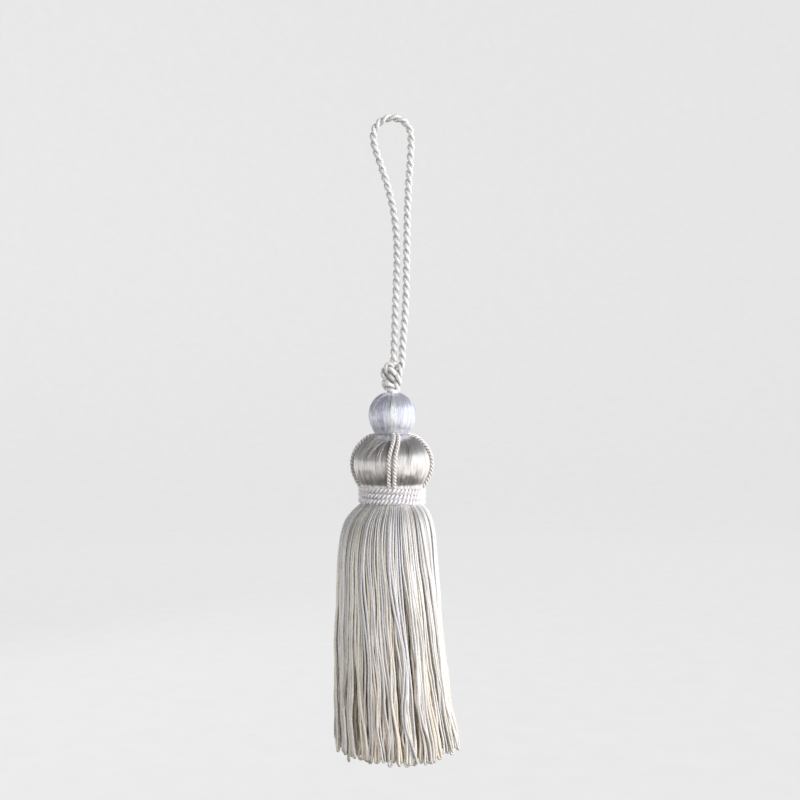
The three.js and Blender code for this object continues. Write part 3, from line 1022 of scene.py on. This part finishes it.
def layer_shell(layer):
    """A ring of loops side by side, at a set depth below the skirt's outline."""
    count = layer["loops"]
    azimuth = even_azimuths(count, 0.25)
    depth = (layer["inset"] + rng.uniform(-0.45, 0.45, count)) / HEM_THICKNESS
    lean = rng.normal(0, 0.045, count)
    return strand_shell(azimuth, depth, layer, lean, 0.25 * TAU * HEM_RADIUS / count)


def inner_shell(layer):
    """Loops that fill the skirt between the layers and the hollow."""
    count = layer["loops"]
    depth = rng.uniform(layer["inset"] / HEM_THICKNESS, 1.0, count)
    azimuth = even_azimuths(count, 0.5)
    return strand_shell(azimuth, depth, layer, rng.normal(0, 0.05, count), 0.6)


def stray_shell(layer):
    """Single loops that lie across the others on the outside."""
    count = layer["loops"]
    azimuth = rng.uniform(0, TAU, count)
    depth = np.full(count, layer["inset"] / HEM_THICKNESS)
    return strand_shell(azimuth, depth, layer, rng.normal(0.03, 0.11, count), 0.5)


# ------------ stage and light

# The backdrop is only what the camera sees: a pale floor that turns up into a wall and a ceiling.
# The tassel is lit by a soft sky, which is a band of light round its sides between a dark top and
# foot, and by two large lamps, at the front right and behind on the left, that show in no
# reflection. The band is thin on the left, wide elsewhere, and glows on the right.
FLOOR_Z = -0.46
ROOM = {"floor": 2.6, "wall": 4.0, "height": 4.0}
BACKDROP_LEVEL = 0.76
KEY_SIDE = math.radians(60)       # azimuth of the glow's middle
SKY = {                           # brightness of each part of the sky
    "left": 0.98, "left_dim": 0.12, "right": 0.82, "behind": 0.95,
    "top": 0.05, "foot": 0.03, "glow": 1.35,
}
TO_RIGHT = (-0.1, 0.85)           # left turns to right over these cosines of the angle to KEY_SIDE
TO_BEHIND = (0.1, 0.6)            # the sides turn to what is behind over these Y of a direction
BEHIND_LEFT = (-0.85, -0.4)       # X over which what is behind turns from the left's band
LEFT_BAND = {"z": -0.12, "full": 0.08, "dim": 0.42}
SKY_TOP = (27.0, 40.0)            # degrees of elevation over which the light from the sides fades
SKY_FOOT = (-46.0, -30.0)
GLOW = (46.0, 8.0)                # degrees from KEY_SIDE between which the glow rises
LAMP_SIZE = (1.5, 0.9)
LAMPS = [                         # azimuth in degrees
    {"name": "key_lamp", "azimuth": 66, "z": 0.50, "watts": 12.5},
    {"name": "back_lamp", "azimuth": -132, "z": 0.25, "watts": 9.0},
]


def backdrop_profile():
    """[radius, height] from the middle of the floor, round the cove and up to the ceiling."""
    turn = np.linspace(0, math.pi / 2, 12)
    cove = ROOM["wall"] - ROOM["floor"]
    above = ROOM["height"] - cove
    floor = np.stack([np.linspace(0.01, ROOM["floor"], 8), np.zeros(8)], axis=1)
    lower = np.stack([ROOM["floor"] + cove * np.sin(turn), cove * (1 - np.cos(turn))], axis=1)
    upper = np.stack([ROOM["wall"] * np.cos(turn), cove + above * np.sin(turn)], axis=1)
    return np.vstack([floor, lower[1:], upper[1:-1], [[0.01, ROOM["height"]]]])


def make_backdrop():
    profile = backdrop_profile()
    azimuth = np.arange(96) / 96 * TAU
    grid = polar(profile[:, :1], azimuth, FLOOR_Z + profile[:, 1:])[None]
    shell = grid_shell(grid, lengths_along(profile)[None] / MM, 0.0)
    g = Material("backdrop")
    position = g.node("ShaderNodeNewGeometry").outputs["Position"]
    grain = g.noise(position, 2.0, scale=30.0)
    paper = g.ramp(grain, [(0.3, (0.98, 0.98, 0.98)), (0.7, WHITE)])
    shader = g.node("ShaderNodeBsdfPrincipled", {
        "Base Color": (0.06, 0.06, 0.06, 1.0), "Roughness": 0.9,
        "Emission Color": paper, "Emission Strength": BACKDROP_LEVEL,
    })
    g.node("ShaderNodeOutputMaterial", {"Surface": shader.outputs[0]})
    backdrop = mesh_object("backdrop", shell, g.material)
    for ray in ("visible_diffuse", "visible_glossy", "visible_transmission", "visible_shadow"):
        setattr(backdrop, ray, False)


def make_world():
    world = bpy.data.worlds.new("studio")
    world.use_nodes = True
    g = Nodes(world.node_tree)
    direction = g.node("ShaderNodeTexCoord").outputs["Generated"]
    x, y, z = g.node("ShaderNodeSeparateXYZ", {0: direction}).outputs
    bright_side = (math.sin(KEY_SIDE), -math.cos(KEY_SIDE), 0.0)
    towards = g.node("ShaderNodeVectorMath", {
        0: direction, 1: bright_side,
    }, operation="DOT_PRODUCT").outputs["Value"]
    off_band = g.math("ABSOLUTE", g.math("SUBTRACT", z, LEFT_BAND["z"]))
    left = g.fade(off_band, LEFT_BAND["full"], LEFT_BAND["dim"], SKY["left"], SKY["left_dim"])
    side = g.between(left, SKY["right"], g.fade(towards, *TO_RIGHT))
    behind = g.between(left, SKY["behind"], g.fade(x, *BEHIND_LEFT))
    side = g.between(side, behind, g.fade(y, *TO_BEHIND))
    top = g.fade(z, *np.sin(np.radians(SKY_TOP)))
    foot = g.fade(z, *np.sin(np.radians(SKY_FOOT)))
    level = g.between(SKY["foot"], g.between(side, SKY["top"], top), foot)
    glow = g.fade(towards, *np.cos(np.radians(GLOW)), 0.0, SKY["glow"])
    background = g.node("ShaderNodeBackground", {
        "Color": g.ramp(g.fade(z, -0.7, 0.7), [(0.0, (1.0, 0.96, 0.91)), (1.0, (0.94, 0.96, 1.0))]),
        "Strength": g.math("ADD", level, glow),
    })
    g.node("ShaderNodeOutputWorld", {"Surface": background.outputs[0]})
    bpy.context.scene.world = world


def make_lamp(name, azimuth, z, watts):
    """A large lamp one metre from the axis, turned to the middle of the tassel."""
    data = bpy.data.lights.new(name, "AREA")
    data.shape = "RECTANGLE"
    data.size, data.size_y = LAMP_SIZE
    data.energy = watts
    lamp = bpy.data.objects.new(name, data)
    lamp.location = polar(1.0, math.radians(azimuth), z)
    aim = Vector((0.0, 0.0, -0.15)) - lamp.location
    lamp.rotation_euler = aim.to_track_quat("-Z", "Y").to_euler()
    lamp.visible_camera = False
    lamp.visible_glossy = False
    bpy.context.scene.collection.objects.link(lamp)


# ------------ the scene

def place(piece, slot, *nodes):
    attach(piece, "root")
    if nodes:
        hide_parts(*nodes)


make_camera()

loop_material = cord_material("twisted_cord")
knot_shaded_material = cord_material("twisted_cord_knot_shaded")
loop, knot, loop_route = make_loop_and_knot(loop_material, knot_shaded_material)
place(loop, "twisted_cord", "hanging_loop")
place(knot, "twisted_cord", "loop_knot")

satins = {name: satin_material(name) for name in SATINS}
for node, cover in COVERS.items():
    place(thread_cover(f"{node}_cover", cover, satins[cover["satin"]]), cover["satin"], node)
for node, cover in COVERS.items():
    place(loose_threads(f"{node}_threads", cover, satins[cover["satin"]]), cover["satin"])

gimp = cord_material("gimp_cord")
for pair in GIMP_PAIRS:
    for number, hand in ((1, -1), (2, 1)):
        start = rng.uniform(0, GIMP_PITCH)
        shell = twisted_cord(gimp_route(pair, hand), GIMP_DIAMETER, GIMP_PITCH, sides=10, start=start)
        cord = mesh_object(f"gimp_cord_{pair['side']}_{number}", shell, gimp)
        place(cord, "gimp_cord", f"gimp_{pair['side']}_{number}")

collar_shell = twisted_cord(collar_route(), COLLAR["cord"] * MM, COLLAR_PITCH)
collar = mesh_object("collar_turns", collar_shell, cord_material("collar_cord"))
place(collar, "collar_cord", "collar")

yarns = {name: yarn_material(name) for name in YARNS}
skirt = []
for layer in LAYERS:
    skirt.append(mesh_object(f"skirt_{layer['name']}", layer_shell(layer), yarns[layer["yarn"]]))
skirt.append(mesh_object("skirt_inner", inner_shell(INNER), yarns[INNER["yarn"]]))
skirt.append(mesh_object("skirt_strays", stray_shell(STRAYS), yarns[STRAYS["yarn"]]))
for piece in skirt:
    place(piece, "fringe_yarn")
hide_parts("skirt")

make_backdrop()
make_world()
for lamp in LAMPS:
    make_lamp(**lamp)
bpy.context.scene.view_settings.view_transform = "Standard"
